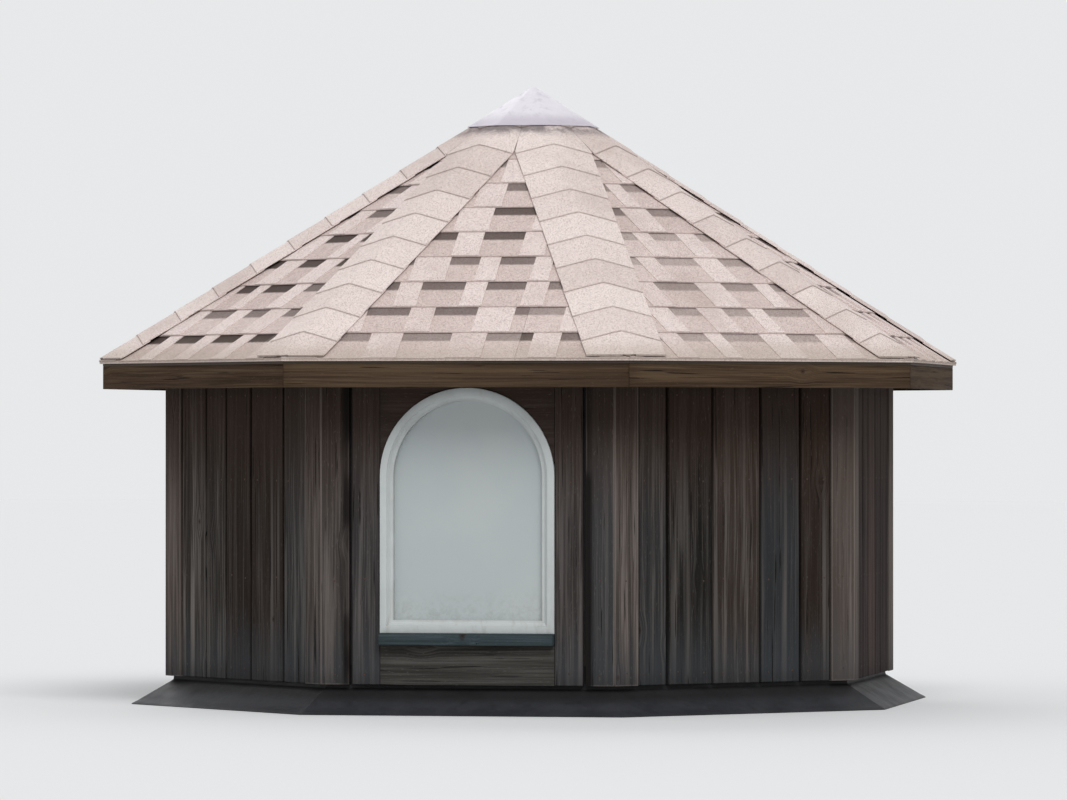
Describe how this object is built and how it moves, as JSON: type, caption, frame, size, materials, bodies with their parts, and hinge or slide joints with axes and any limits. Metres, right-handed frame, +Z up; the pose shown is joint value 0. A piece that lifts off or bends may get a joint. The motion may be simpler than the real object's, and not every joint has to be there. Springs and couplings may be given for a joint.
{
  "type": "roof cupola",
  "caption": "Octagonal timber roof cupola with weathered board walls, an arched window in front and behind, a boxed eave and a hipped shingle roof.",
  "frame": {"origin": "on the cupola's axis, level with the underside of its curb", "axes": "+Z up along the axis; the two windows face +Y and -Y, the front one -Y"},
  "size_m": [2.6006, 2.6006, 1.9753],
  "materials": {
    "framing_timber": "sawn softwood, unpainted",
    "sheathing_panel": "plywood, unpainted",
    "weathered_boards": "rough sawn, dark and weathered",
    "weathered_trim": "rough sawn, dark and weathered",
    "eave_boards": "dark brown, weathered",
    "window_frame": "pale, satin",
    "frosted_pane": "frosted, pale grey",
    "dark_flashing": "dark, dull",
    "shingles": "mineral granules on felt, pinkish tan",
    "apex_metal": "dull, pale"
  },
  "bodies": {
    "root": {"curb": "framing_timber", "corner_posts": "framing_timber", "wall_studs": "framing_timber", "window_studs": "framing_timber", "rough_sills": "framing_timber", "window_headers": "framing_timber", "top_plate": "framing_timber", "common_rafters": "framing_timber", "hip_rafters": "framing_timber", "king_block": "framing_timber", "sheathing_plain": "sheathing_panel", "sheathing_window": "sheathing_panel", "roof_deck": "sheathing_panel", "siding_right": "weathered_boards", "siding_back_right": "weathered_boards", "siding_back_left": "weathered_boards", "siding_left": "weathered_boards", "siding_front_left": "weathered_boards", "siding_front_right": "weathered_boards", "corner_boards": "weathered_trim", "casing_front": "weathered_trim", "casing_back": "weathered_trim", "window_sills": "weathered_trim", "apron_boards": "weathered_trim", "soffit": "eave_boards", "fascia": "eave_boards", "window_frame_front": "window_frame", "window_frame_back": "window_frame", "window_pane_front": "frosted_pane", "window_pane_back": "frosted_pane", "roof_flashing": "dark_flashing", "shingles": "shingles", "hip_caps": "shingles", "apex_cap": "apex_metal"}
  },
  "joints": []
}
